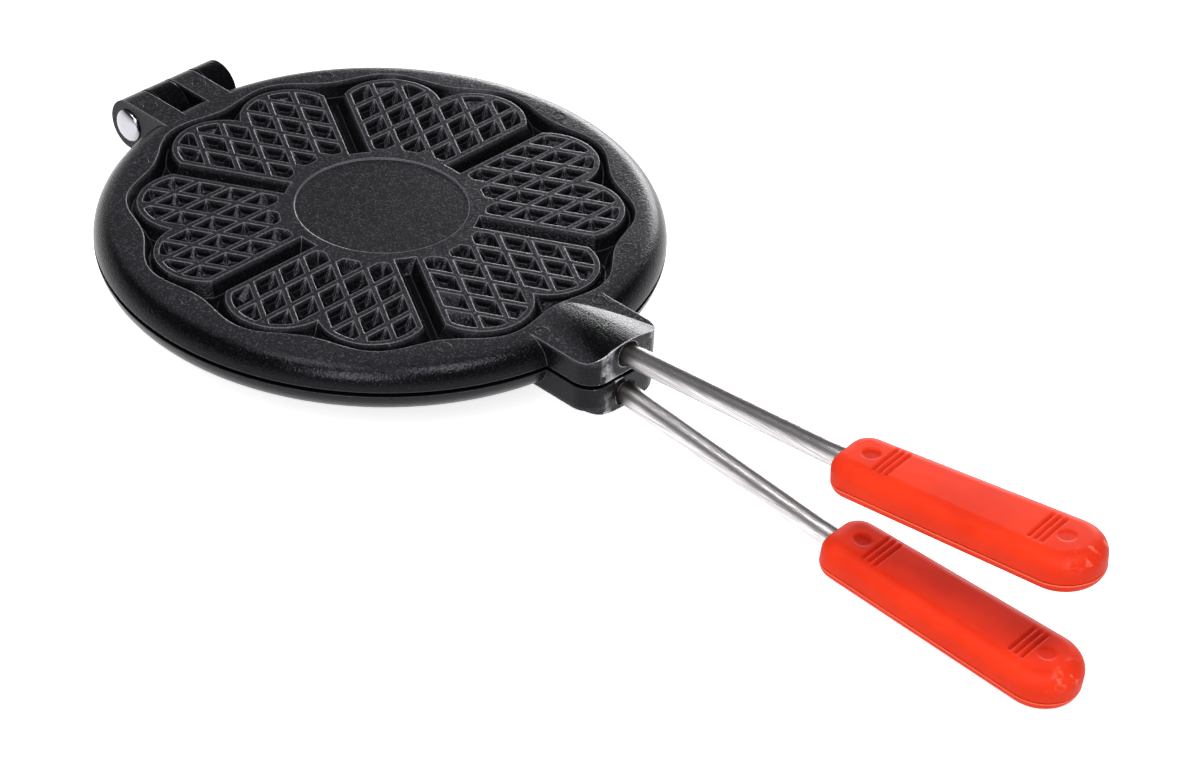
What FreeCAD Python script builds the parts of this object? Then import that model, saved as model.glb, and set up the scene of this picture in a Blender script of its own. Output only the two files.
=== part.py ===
import FreeCAD, Part
import math
import os

import Sketcher

# A hand-held waffle iron for the stove: two equal cast plates on a pin hinge, each with a steel
# handle rod and a moulded grip. Millimetres; the iron lies closed, +X to the grips, +Z up, and
# the origin is the middle of the underside that stands on the burner.

Vector = FreeCAD.Vector
doc = FreeCAD.newDocument("heart_iron")
sheet = doc.addObject("Spreadsheet::Sheet", "dims")

SIZES = [
    # plate and rim; the depth is from the closing plane to the outer face
    ("plate_radius", 115.0),
    ("plate_depth", 11.0),
    ("rim_gap", 2.0),
    ("seal_clearance", 0.1),
    ("channel_inner", 102.5),
    ("channel_outer", 110.5),
    ("channel_depth", 5.5),
    # outside: moat round the hearts, middle disc, hub between disc and hearts
    ("moat_depth", 6.0),
    ("moat_radius", 99.2),
    ("moat_wave", 2.7),
    ("disc_radius", 35.0),
    ("disc_depth", 0.7),
    ("hub_radius", 39.5),
    ("hub_corner", 2.2),
    # hearts and their diamond lattice
    ("heart_count", 6.0),
    ("lobe_along", 74.0),
    ("lobe_across", 18.25),
    ("lobe_radius", 21.3),
    ("cell_pitch", 11.3),
    ("rib_width", 2.2),
    ("cell_depth", 4.6),
    ("wall_draft", 14.0),
    # inside: baking hollows with pegs under the outer pockets
    ("bake_depth", 4.6),
    ("peg_height", 2.2),
    ("valley_width", 3.2),
    ("bake_wall", 0.7),
    ("bake_centre", 37.0),
    ("web_radius", 83.0),
    # handle boss
    ("boss_half", 20.2),
    ("boss_start", 95.0),
    ("boss_front", 136.0),
    ("boss_corner", 9.0),
    ("dome_tilt", 6.0),
    ("dome_radius", 46.0),
    # handle rod; its height is that of the axis in the front of the boss
    ("rod_dia", 9.0),
    ("rod_tilt", 5.08),
    ("rod_height", 9.0),
    ("rod_start", 107.0),
    ("rod_vertex", 236.0),
    ("upper_bend", 5.3),
    ("lower_bend", 3.6),
    ("rod_roll", 9.6),
    ("bend_radius", 60.0),
    ("rod_in_grip", 80.0),
    ("fit_clearance", 0.02),
    ("sleeve_wall", 0.9),
    ("sleeve_length", 8.0),
    ("sleeve_sink", 0.6),
    # hinge
    ("hinge_axis", 127.0),
    ("hinge_root", 100.0),
    ("slot_root", 107.4),
    ("knuckle_width", 11.6),
    ("knuckle_gap", 1.2),
    ("pin_dia", 8.0),
    ("pin_clearance", 0.05),
    ("head_dia", 14.2),
    ("head_edge", 1.0),
    ("head_dome", 1.4),
    ("head_clearance", 0.3),
    ("washer_dia", 15.0),
    ("washer_thick", 1.2),
    ("rivet_dia", 11.4),
    ("rivet_dome", 1.8),
    # grip
    ("grip_offset", 5.5),
    ("grip_length", 110.0),
    ("grip_mouth", 13.1),
    ("grip_end", 15.8),
    ("grip_top", 7.0),
    ("grip_bottom", 9.0),
    ("grip_corner", 9.0),
    ("grip_round_top", 6.5),
    ("grip_round_bottom", 5.5),
    ("grip_bore_spare", 2.0),
    ("groove_width", 1.2),
    ("groove_half", 8.2),
    ("groove_depth", 0.6),
    ("groove_pitch", 2.7),
    ("groove_near", 18.2),
    ("groove_far", 83.8),
    ("dimple_near", 12.7),
    ("dimple_far", 95.2),
    ("dimple_radius", 3.3),
]

for row, (alias, value) in enumerate(SIZES, start=1):
    sheet.set("A%d" % row, alias)
    sheet.set("B%d" % row, str(value))
    sheet.setAlias("B%d" % row, alias)
doc.recompute()


def size(alias):
    return float(sheet.get(alias))


def bind(thing, prop, formula):
    thing.setExpression(prop, formula)


def worth(formula):
    found = sheet.evalExpression(formula)
    return float(getattr(found, "Value", found))


def new_body(label):
    body = doc.addObject("PartDesign::Body", label)
    body.Label = label
    return body


def sketch_on(body, role, name):
    plane = [item for item in body.Origin.OriginFeatures if item.Role == role][0]
    sketch = body.newObject("Sketcher::SketchObject", name)
    sketch.AttachmentSupport = [(plane, "")]
    sketch.MapMode = "FlatFace"
    return sketch


def hold(sketch, element, point, across, up):
    """Tie one point of a sketch to the sheet; None leaves that coordinate free."""
    for kind, formula in (("DistanceX", across), ("DistanceY", up)):
        if formula is not None:
            tie = Sketcher.Constraint(kind, -1, 1, element, point, worth(formula))
            number = sketch.addConstraint(tie)
            bind(sketch, "Constraints[%d]" % number, formula)


def polygon(sketch, corners):
    """Closed chain of straight lines through corners, each a pair of formulas."""
    points = [Vector(worth(across), worth(up), 0) for across, up in corners]
    first = sketch.GeometryCount
    total = len(points)
    for k in range(total):
        sketch.addGeometry(Part.LineSegment(points[k], points[(k + 1) % total]), False)
    for k in range(total):
        follower = first + (k + 1) % total
        sketch.addConstraint(Sketcher.Constraint("Coincident", first + k, 2, follower, 1))
        hold(sketch, first + k, 1, corners[k][0], corners[k][1])


def circle(sketch, across, up, radius):
    middle = Vector(worth(across), worth(up), 0)
    item = sketch.addGeometry(Part.Circle(middle, Vector(0, 0, 1), worth(radius)), False)
    hold(sketch, item, 3, across, up)
    number = sketch.addConstraint(Sketcher.Constraint("Radius", item, worth(radius)))
    bind(sketch, "Constraints[%d]" % number, radius)


def feature(kind, body, name, sketch):
    item = body.newObject(kind, name)
    item.Profile = sketch
    return item


def shape_object(name, shape):
    item = doc.addObject("Part::Feature", name)
    item.Shape = shape
    return item


def boolean(kind, name, base, tools):
    item = doc.addObject(kind, name)
    if kind == "Part::Cut":
        item.Base = base
        item.Tool = tools
    else:
        item.Shapes = [base] + tools
    return item


def edge_names(shape, wanted):
    return ["Edge%d" % (k + 1) for k, edge in enumerate(shape.Edges) if wanted(edge)]


# The plate is drawn lying on the closing plane z = 0 with its outer face up. First the round
# disc: seal land, spill channel, lip and a quarter-round edge.
disc = new_body("disc")
sketch = sketch_on(disc, "XZ_Plane", "disc_profile")
flat = "(dims.plate_radius - dims.plate_depth)"
corners = [
    ("0", "dims.seal_clearance / 2"),
    ("dims.channel_inner", "dims.seal_clearance / 2"),
    ("dims.channel_inner", "dims.channel_depth"),
    ("dims.channel_outer", "dims.channel_depth"),
    ("dims.channel_outer", "dims.rim_gap / 2"),
    (flat + " + sqrt(dims.plate_depth ^ 2 - dims.rim_gap ^ 2 / 4)", "dims.rim_gap / 2"),
    (flat, "dims.plate_depth"),
    ("0", "dims.plate_depth"),
]
points = [Vector(worth(across), worth(up), 0) for across, up in corners]
for k in range(len(points)):
    start = points[k]
    end = points[(k + 1) % len(points)]
    if k == 5:
        ring = Part.Circle(Vector(worth(flat), 0, 0), Vector(0, 0, 1), size("plate_depth"))
        sketch.addGeometry(Part.ArcOfCircle(ring, ring.parameter(start), math.pi / 2), False)
    else:
        sketch.addGeometry(Part.LineSegment(start, end), False)
for k in range(len(points)):
    follower = (k + 1) % len(points)
    sketch.addConstraint(Sketcher.Constraint("Coincident", k, 2, follower, 1))
    free_across = k == 5
    hold(sketch, k, 1, None if free_across else corners[k][0], corners[k][1])
hold(sketch, 5, 3, flat, "0")
turn = feature("PartDesign::Revolution", disc, "disc_turn", sketch)
turn.ReferenceAxis = (sketch, ["V_Axis"])
turn.Angle = 360

# The boss is a block with two round front corners, cut off at the outer face of the plate except
# for a low dome that rises towards the rod.
block = new_body("boss_block")
sketch = sketch_on(block, "XY_Plane", "boss_plan")
polygon(sketch, [
    ("dims.boss_start", "-dims.boss_half"),
    ("dims.boss_front", "-dims.boss_half"),
    ("dims.boss_front", "dims.boss_half"),
    ("dims.boss_start", "dims.boss_half"),
])
bind(sketch, "AttachmentOffset.Base.z", "dims.rim_gap / 2")
pad = feature("PartDesign::Pad", block, "boss_pad", sketch)
bind(pad, "Length", "2 * dims.plate_depth")
doc.recompute()
front = size("boss_front")
upright = edge_names(pad.Shape, lambda edge: edge.Length > 20 and edge.BoundBox.XMin > front - 1
                     and edge.BoundBox.ZLength > 20)
rounding = block.newObject("PartDesign::Fillet", "boss_corners")
rounding.Base = (pad, upright)
bind(rounding, "Radius", "dims.boss_corner")

level = doc.addObject("Part::Box", "boss_level")
bind(level, "Length", "dims.boss_front")
bind(level, "Width", "4 * dims.boss_half")
bind(level, "Height", "dims.plate_depth")
bind(level, "Placement.Base.y", "-2 * dims.boss_half")

tilt = math.radians(size("dome_tilt"))
run = Vector(math.cos(tilt), 0, math.sin(tilt))
rise = Vector(-math.sin(tilt), 0, math.cos(tilt))
dome = doc.addObject("Part::Cylinder", "boss_dome")
bind(dome, "Radius", "dims.dome_radius")
bind(dome, "Height", "dims.boss_front")
dome.Placement = FreeCAD.Placement(
    Vector(size("boss_start"), 0, size("plate_depth")) - rise * size("dome_radius") - run * 20,
    FreeCAD.Rotation(Vector(0, 1, 0), 90 - size("dome_tilt")))
envelope = boolean("Part::MultiFuse", "boss_envelope", level, [dome])
boss = doc.addObject("Part::MultiCommon", "boss")
boss.Shapes = [block, envelope]

# Two hinge lugs: an arm from the rim and a knuckle round the hinge axis, which lies in the
# closing plane. The places of the other plate's knuckles stay free.
lugs = []
pitch = "(dims.knuckle_width + dims.knuckle_gap)"
for k, near_side in enumerate(("-2 * " + pitch + " + dims.knuckle_gap / 2", "dims.knuckle_gap / 2")):
    arm = doc.addObject("Part::Box", "arm_%d" % k)
    bind(arm, "Length", "dims.hinge_axis - dims.hinge_root")
    bind(arm, "Width", "dims.knuckle_width")
    bind(arm, "Height", "dims.plate_depth - dims.rim_gap / 2")
    bind(arm, "Placement.Base.x", "-dims.hinge_axis")
    bind(arm, "Placement.Base.y", near_side)
    bind(arm, "Placement.Base.z", "dims.rim_gap / 2")
    knuckle = doc.addObject("Part::Cylinder", "knuckle_%d" % k)
    bind(knuckle, "Radius", "dims.plate_depth")
    bind(knuckle, "Height", "dims.knuckle_width")
    knuckle.Placement.Rotation = FreeCAD.Rotation(Vector(1, 0, 0), -90)
    bind(knuckle, "Placement.Base.x", "-dims.hinge_axis")
    bind(knuckle, "Placement.Base.y", near_side)
    lugs += [arm, knuckle]

solid = boolean("Part::MultiFuse", "plate_solid", disc, [boss] + lugs)

slot = doc.addObject("Part::Box", "knuckle_slot")
bind(slot, "Length", "dims.hinge_axis - dims.slot_root")
bind(slot, "Width", "dims.knuckle_width + 2 * dims.knuckle_gap")
bind(slot, "Height", "4 * dims.plate_depth")
bind(slot, "Placement.Base.x", "-dims.hinge_axis")
bind(slot, "Placement.Base.y", "-dims.knuckle_width - 1.5 * dims.knuckle_gap")
bind(slot, "Placement.Base.z", "-2 * dims.plate_depth")

pin_bore = doc.addObject("Part::Cylinder", "pin_bore")
bind(pin_bore, "Radius", "dims.pin_dia / 2 + dims.pin_clearance")
bind(pin_bore, "Height", "5 * " + pitch)
pin_bore.Placement.Rotation = FreeCAD.Rotation(Vector(1, 0, 0), -90)
bind(pin_bore, "Placement.Base.x", "-dims.hinge_axis")
bind(pin_bore, "Placement.Base.y", "-2.5 * " + pitch)

disc_recess = doc.addObject("Part::Cylinder", "disc_recess")
bind(disc_recess, "Radius", "dims.disc_radius")
bind(disc_recess, "Height", "2 * dims.disc_depth")
bind(disc_recess, "Placement.Base.z", "dims.plate_depth - dims.disc_depth")

# Bores for the rod and its sleeve, both along the tilted rod axis.
slope = math.radians(size("rod_tilt"))
axis = Vector(math.cos(slope), 0, math.sin(slope))
mouth = Vector(size("boss_front"), 0, size("rod_height"))
along_axis = FreeCAD.Rotation(Vector(0, 1, 0), 90 - size("rod_tilt"))
rod_depth = (size("boss_front") - size("rod_start")) / math.cos(slope)

rod_bore = doc.addObject("Part::Cylinder", "rod_bore")
bind(rod_bore, "Radius", "dims.rod_dia / 2 + dims.fit_clearance")
bind(rod_bore, "Height", "2 * (dims.boss_front - dims.rod_start)")
rod_bore.Placement = FreeCAD.Placement(mouth - axis * rod_depth, along_axis)

sleeve_bore = doc.addObject("Part::Cylinder", "sleeve_bore")
bind(sleeve_bore, "Radius", "dims.rod_dia / 2 + dims.sleeve_wall + 2 * dims.fit_clearance")
bind(sleeve_bore, "Height", "2 * dims.sleeve_length")
sleeve_depth = size("sleeve_length") + size("sleeve_sink")
sleeve_bore.Placement = FreeCAD.Placement(mouth - axis * sleeve_depth, along_axis)

# The heart pattern. Each heart points to the middle, and its two straight sides lie at a distance
# side from the lines that part it from its neighbours.
depth = size("plate_depth")
draft = math.tan(math.radians(size("wall_draft")))
step = size("cell_pitch")
rib = size("rib_width")
hearts = int(size("heart_count"))
half_turn = math.pi / hearts
lobe = Vector(size("lobe_along"), size("lobe_across"), 0)


def spread(first, second):
    """Point at these distances from the two parting lines beside a heart."""
    return Vector((first + second) / (2 * math.sin(half_turn)),
                  (second - first) / (2 * math.cos(half_turn)), 0)


def heart_wire(side, radius, z):
    """Outline of one heart: straight side, lobe, and the same mirrored."""
    along = Vector(math.cos(half_turn), math.sin(half_turn), 0)
    inward = Vector(math.sin(half_turn), -math.cos(half_turn), 0)
    tip = spread(side, side)
    offset = (lobe - inward * side).dot(inward)
    foot = lobe - inward * offset
    corner = foot + along * math.sqrt(radius ** 2 - offset ** 2)
    cleft = Vector(lobe.x + math.sqrt(radius ** 2 - lobe.y ** 2), 0, 0)
    bulge = lobe + Vector(radius, 0, 0)
    lift = Vector(0, 0, z)

    def other(point):
        return Vector(point.x, -point.y, 0)

    return Part.Wire([
        Part.makeLine(tip + lift, corner + lift),
        Part.Arc(corner + lift, bulge + lift, cleft + lift).toShape(),
        Part.Arc(cleft + lift, other(bulge) + lift, other(corner) + lift).toShape(),
        Part.makeLine(other(corner) + lift, tip + lift),
    ])


def tapered(wire_at, low, high):
    """Solid between two levels with straight drafted walls."""
    return Part.makeLoft([wire_at(low), wire_at(high)], True, True)


def diamond_wire(row, column, half, z):
    first = (row + 1) * step
    second = (column + 1) * step
    corners = [spread(first + a * half, second + b * half)
               for a, b in ((-1, -1), (1, -1), (1, 1), (-1, 1))]
    lifted = [corner + Vector(0, 0, z) for corner in corners]
    return Part.makePolygon(lifted + lifted[:1])


def around(shapes):
    """Copies of the shapes of one heart, one set for each heart."""
    copies = []
    for k in range(hearts):
        for shape in shapes:
            copy = shape.copy()
            copy.rotate(Vector(0, 0, 0), Vector(0, 0, 1), 360.0 * k / hearts)
            copies.append(copy)
    return copies


def heart_cells(half, low, high, lobe_reach, hub_reach, corner):
    """Drafted diamonds of one heart between two levels; half and the two reaches hold at the
    level high, and the diamonds get smaller towards the level low. A corner radius above zero
    rounds the ends that the hub cuts off."""
    def shrink(z):
        return draft * (high - z)

    lobe_cone = [Part.makeCone(lobe_reach - shrink(low), lobe_reach, high - low,
                               Vector(lobe.x, side * lobe.y, low)) for side in (1, -1)]
    hub_cone = Part.makeCone(hub_reach + shrink(low), hub_reach, high - low, Vector(0, 0, low))
    cells = []
    for ring in range(2, 7):
        for row in range(ring + 1):
            column = ring - row
            middle = spread((row + 1) * step, (column + 1) * step)
            reach = math.hypot(middle.x - lobe.x, abs(middle.y) - lobe.y)
            if middle.x > lobe.x and reach > size("lobe_radius"):
                continue
            cell = tapered(lambda z: diamond_wire(row, column, half - shrink(z), z), low, high)
            if ring == 2:
                cell = cell.cut(hub_cone)
            if ring == 2 and corner > 0:
                ends = [edge for edge in cell.Edges
                        if edge.BoundBox.ZLength > 0.9 * (high - low)
                        and min(math.hypot(v.X, v.Y) for v in edge.Vertexes) < hub_reach + 0.05]
                cell = cell.makeFillet(corner, ends)
            if middle.x > lobe.x and (ring == 6 or abs(row - column) == ring):
                cell = cell.common(lobe_cone[0 if middle.y > 0 else 1])
            cells += cell.Solids
    return cells


# Outside: the moat and the parting grooves are what is left between a scalloped outer wall and
# the hearts, which stand on one hub.
floor = depth - size("moat_depth")
above = depth + 1.0
groove_half = (step - rib) / 2


def scallop_wire(z):
    """Outer wall of the moat, nearer to the middle at every cleft and every parting line."""
    points = []
    for k in range(16 * hearts):
        angle = 2 * math.pi * k / (16 * hearts)
        wave = size("moat_wave") * math.cos(2 * hearts * angle)
        radius = size("moat_radius") - wave + (z - depth) * draft
        points.append(Vector(radius * math.cos(angle), radius * math.sin(angle), z))
    curve = Part.BSplineCurve()
    curve.interpolate(Points=points, PeriodicFlag=True)
    return Part.Wire([curve.toShape()])


def island_wire(z):
    growth = (depth - z) * draft
    return heart_wire(groove_half - growth, size("lobe_radius") + growth, z)


islands = around([tapered(island_wire, floor - 1.0, above + 1.0)])
hub_low = size("hub_radius") + (size("moat_depth") + 1.0) * draft
hub_high = size("hub_radius") - 2.0 * draft
islands.append(Part.makeCone(hub_low, hub_high, above + 2.0 - floor, Vector(0, 0, floor - 1.0)))
moat = shape_object("moat", tapered(scallop_wire, floor, above).cut(islands))

pocket_half = (step - rib) / 2 + (above - depth) * draft
lobe_reach = size("lobe_radius") - rib + (above - depth) * draft
hub_reach = size("hub_radius") + rib - (above - depth) * draft
pockets = heart_cells(pocket_half, depth - size("cell_depth"), above, lobe_reach, hub_reach,
                      size("hub_corner"))
pocket_set = shape_object("pockets", Part.makeCompound(around(pockets)))

# Inside: six heart-shaped hollows that meet in a round one. Pegs stand in them under the pockets,
# so that the floor of the plate keeps its thickness. The ridges between the hearts are as low as
# the pegs, which leaves a web that holds the hearts together.
roof = size("bake_depth")
peg_tip = roof - size("peg_height")
peg_half = (step - size("valley_width")) / 2
peg_lobe = size("lobe_radius") - size("bake_wall") - size("valley_width")
peg_hub = size("hub_radius") + rib
pegs = heart_cells(peg_half, peg_tip, roof + 1.0, peg_lobe, peg_hub, 0)


def hollow_wire(z):
    inset = size("bake_wall") + z * draft
    return heart_wire(groove_half + inset, size("lobe_radius") - inset, z)


hollow = tapered(hollow_wire, 0.0, roof).cut(pegs)
middle_hollow = Part.makeCylinder(size("bake_centre"), roof)
hollow_set = shape_object("hollows", Part.makeCompound(around([hollow]) + [middle_hollow]))

web = doc.addObject("Part::Cylinder", "web")
bind(web, "Radius", "dims.web_radius")
bind(web, "Height", "dims.bake_depth - dims.peg_height")

# Cut everything from the solid plate, one tool at a time.
casting = solid
for tool in (slot, pin_bore, sleeve_bore, rod_bore, disc_recess, web, moat, pocket_set, hollow_set):
    casting = boolean("Part::Cut", "plate_less_" + tool.Name, casting, tool)
doc.recompute()

# The lower plate is the same casting turned over about the X axis.
closing = Vector(0, 0, size("plate_depth"))
flip = FreeCAD.Rotation(Vector(1, 0, 0), 180)
upper_plate = shape_object("upper_plate", casting.Shape.copy())
upper_plate.Placement = FreeCAD.Placement(closing, FreeCAD.Rotation())
lower_plate = shape_object("lower_plate", casting.Shape.copy())
lower_plate.Placement = FreeCAD.Placement(closing, flip)

# Hinge pin, turned about the hinge axis: domed head beyond the first knuckle, riveted end on a
# washer beyond the last one.
barrel = "(2 * " + pitch + " - dims.knuckle_gap / 2)"
hinge_pin = new_body("hinge_pin")
sketch = sketch_on(hinge_pin, "XZ_Plane", "pin_profile")
shoulder = "(-" + barrel + " - dims.head_clearance)"
seat = "(" + barrel + " + dims.washer_thick)"
polygon(sketch, [
    ("0", shoulder + " - dims.head_edge - dims.head_dome"),
    ("dims.head_dia / 4", shoulder + " - dims.head_edge - 0.8 * dims.head_dome"),
    ("0.42 * dims.head_dia", shoulder + " - dims.head_edge - 0.4 * dims.head_dome"),
    ("dims.head_dia / 2", shoulder + " - dims.head_edge"),
    ("dims.head_dia / 2", shoulder),
    ("dims.pin_dia / 2", shoulder),
    ("dims.pin_dia / 2", seat),
    ("dims.rivet_dia / 2", seat),
    ("0.42 * dims.rivet_dia", seat + " + 0.6 * dims.rivet_dome"),
    ("dims.rivet_dia / 4", seat + " + 0.9 * dims.rivet_dome"),
    ("0", seat + " + dims.rivet_dome"),
])
turn = feature("PartDesign::Revolution", hinge_pin, "pin_turn", sketch)
turn.ReferenceAxis = (sketch, ["V_Axis"])
turn.Angle = 360
hinge_line = FreeCAD.Rotation(Vector(1, 0, 0), -90)
hinge_place = Vector(-size("hinge_axis"), 0, size("plate_depth"))
hinge_pin.Placement = FreeCAD.Placement(hinge_place, hinge_line)

hinge_washer = new_body("hinge_washer")
sketch = sketch_on(hinge_washer, "XY_Plane", "washer_plan")
circle(sketch, "0", "0", "dims.washer_dia / 2")
circle(sketch, "0", "0", "dims.pin_dia / 2 + dims.pin_clearance")
pad = feature("PartDesign::Pad", hinge_washer, "washer_pad", sketch)
bind(pad, "Length", "dims.washer_thick")
washer_place = hinge_place + Vector(0, worth(barrel), 0)
hinge_washer.Placement = FreeCAD.Placement(washer_place, hinge_line)

# Handles. The rods splay from the closing plane, and both grips turn to the same side at a slight
# bend in the rod, which is a little less in the lower one.
vertex = (size("rod_vertex") - size("rod_start")) / math.cos(slope)

for name, side in (("upper", 1), ("lower", -1)):
    bend = math.radians(size(name + "_bend"))
    tangent = size("bend_radius") * math.tan(bend / 2)
    lean = FreeCAD.Rotation(Vector(0, 1, 0), -side * size("rod_tilt"))
    roll = FreeCAD.Rotation(Vector(1, 0, 0), -side * size("rod_roll"))
    frame = lean.multiply(roll)
    tilted = Vector(axis.x, 0, side * axis.z)
    entry = closing + Vector(mouth.x, 0, side * mouth.z)
    root = entry - tilted * rod_depth

    rod = new_body(name + "_rod")
    path = sketch_on(rod, "XY_Plane", name + "_rod_path")
    last = size("rod_in_grip") + size("grip_offset") - tangent
    first_end = Vector(vertex - tangent, 0, 0)
    bend_middle = first_end + Vector(0, size("bend_radius"), 0)
    bend_end = bend_middle + Vector(math.sin(bend), -math.cos(bend), 0) * size("bend_radius")
    path.addGeometry(Part.LineSegment(Vector(0, 0, 0), first_end), False)
    ring = Part.Circle(bend_middle, Vector(0, 0, 1), size("bend_radius"))
    path.addGeometry(Part.ArcOfCircle(ring, -math.pi / 2, bend - math.pi / 2), False)
    onward = Vector(math.cos(bend), math.sin(bend), 0)
    path.addGeometry(Part.LineSegment(bend_end, bend_end + onward * last), False)
    path.addConstraint(Sketcher.Constraint("Coincident", 0, 1, -1, 1))
    path.addConstraint(Sketcher.Constraint("Horizontal", 0))
    path.addConstraint(Sketcher.Constraint("Tangent", 0, 2, 1, 1))
    path.addConstraint(Sketcher.Constraint("Tangent", 1, 2, 2, 1))
    number = path.addConstraint(Sketcher.Constraint("Radius", 1, size("bend_radius")))
    bind(path, "Constraints[%d]" % number, "dims.bend_radius")
    path.addConstraint(Sketcher.Constraint("Angle", 2, bend))
    path.addConstraint(Sketcher.Constraint("Distance", 0, first_end.x))
    path.addConstraint(Sketcher.Constraint("Distance", 2, last))
    section = sketch_on(rod, "YZ_Plane", name + "_rod_section")
    circle(section, "0", "0", "dims.rod_dia / 2")
    pipe = feature("PartDesign::AdditivePipe", rod, name + "_rod_pipe", section)
    pipe.Spine = (path, ["Edge1", "Edge2", "Edge3"])
    rod.Placement = FreeCAD.Placement(root, frame)

    sleeve = new_body(name + "_sleeve")
    sketch = sketch_on(sleeve, "YZ_Plane", name + "_sleeve_plan")
    circle(sketch, "0", "0", "dims.rod_dia / 2 + dims.sleeve_wall + dims.fit_clearance")
    circle(sketch, "0", "0", "dims.rod_dia / 2 + dims.fit_clearance")
    pad = feature("PartDesign::Pad", sleeve, name + "_sleeve_pad", sketch)
    bind(pad, "Length", "dims.sleeve_length")
    sleeve.Placement = FreeCAD.Placement(entry - tilted * sleeve_depth, lean)

    # The grip lies with its flat face up on both handles.
    heading = frame.multVec(Vector(math.cos(bend), math.sin(bend), 0))
    corner = root + tilted * vertex
    level_side = Vector(0, 0, 1).cross(heading)
    facing = FreeCAD.Rotation(heading, level_side, heading.cross(level_side), "XYZ")

    grip = new_body(name + "_grip")
    sketch = sketch_on(grip, "XY_Plane", name + "_grip_plan")
    bind(sketch, "AttachmentOffset.Base.z", "-dims.grip_bottom")
    arc_along = size("grip_length") - size("grip_end")
    wide = size("grip_end")
    narrow = size("grip_mouth")
    sketch.addGeometry(Part.LineSegment(Vector(0, narrow, 0), Vector(0, -narrow, 0)), False)
    sketch.addGeometry(Part.LineSegment(Vector(0, -narrow, 0), Vector(arc_along, -wide, 0)), False)
    ring = Part.Circle(Vector(arc_along, 0, 0), Vector(0, 0, 1), wide)
    sketch.addGeometry(Part.ArcOfCircle(ring, -math.pi / 2, math.pi / 2), False)
    sketch.addGeometry(Part.LineSegment(Vector(arc_along, wide, 0), Vector(0, narrow, 0)), False)
    for k in range(4):
        sketch.addConstraint(Sketcher.Constraint("Coincident", k, 2, (k + 1) % 4, 1))
    hold(sketch, 0, 1, "0", "dims.grip_mouth")
    hold(sketch, 1, 1, "0", "-dims.grip_mouth")
    hold(sketch, 2, 1, "dims.grip_length - dims.grip_end", "-dims.grip_end")
    hold(sketch, 2, 3, "dims.grip_length - dims.grip_end", "0")
    hold(sketch, 3, 1, "dims.grip_length - dims.grip_end", None)
    pad = feature("PartDesign::Pad", grip, name + "_grip_pad", sketch)
    bind(pad, "Length", "dims.grip_top + dims.grip_bottom")
    doc.recompute()

    corners = grip.newObject("PartDesign::Fillet", name + "_grip_corners")
    thick = size("grip_top") + size("grip_bottom")
    corners.Base = (pad, edge_names(pad.Shape, lambda edge: edge.BoundBox.ZLength > 0.9 * thick
                                    and edge.BoundBox.XMax < 1))
    bind(corners, "Radius", "dims.grip_corner")
    doc.recompute()
    rounds = corners
    for word, height in (("top", size("grip_top")), ("bottom", -size("grip_bottom"))):
        rim = edge_names(rounds.Shape, lambda edge: edge.BoundBox.ZLength < 0.01
                         and abs(edge.BoundBox.ZMin - height) < 0.01)
        softened = grip.newObject("PartDesign::Fillet", "%s_grip_round_%s" % (name, word))
        softened.Base = (rounds, rim)
        bind(softened, "Radius", "dims.grip_round_" + word)
        doc.recompute()
        rounds = softened

    sketch = sketch_on(grip, "YZ_Plane", name + "_grip_bore")
    circle(sketch, "0", "0", "dims.rod_dia / 2 + dims.fit_clearance")
    bore = feature("PartDesign::Pocket", grip, name + "_grip_hole", sketch)
    bore.Reversed = True
    bind(bore, "Length", "dims.rod_in_grip + dims.grip_bore_spare")

    sketch = sketch_on(grip, "XY_Plane", name + "_grip_marks")
    bind(sketch, "AttachmentOffset.Base.z", "dims.grip_top")
    for place in ("dims.groove_near", "dims.groove_far"):
        for k in range(3):
            left = "%s + %d * dims.groove_pitch" % (place, k)
            polygon(sketch, [
                (left, "-dims.groove_half"),
                (left + " + dims.groove_width", "-dims.groove_half"),
                (left + " + dims.groove_width", "dims.groove_half"),
                (left, "dims.groove_half"),
            ])
    circle(sketch, "dims.dimple_near", "0", "dims.dimple_radius")
    circle(sketch, "dims.dimple_far", "0", "dims.dimple_radius")
    marks = feature("PartDesign::Pocket", grip, name + "_grip_grooves", sketch)
    bind(marks, "Length", "dims.groove_depth")
    grip.Placement = FreeCAD.Placement(corner + heading * size("grip_offset"), facing)

doc.recompute()

PIECES = [
    "upper_plate", "lower_plate", "hinge_pin", "hinge_washer",
    "upper_rod", "lower_rod", "upper_sleeve", "lower_sleeve", "upper_grip", "lower_grip",
]

for item in doc.Objects:
    if "Invalid" in item.State or "Error" in item.State:
        raise RuntimeError("not computed: " + item.Label)

os.makedirs("parts", exist_ok=True)
for label in PIECES:
    shape = doc.getObjectsByLabel(label)[0].Shape
    if shape.isNull() or not shape.isValid() or len(shape.Solids) != 1:
        raise RuntimeError("not one valid solid: " + label)
    shape.exportStep("parts/%s.step" % label)
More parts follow.
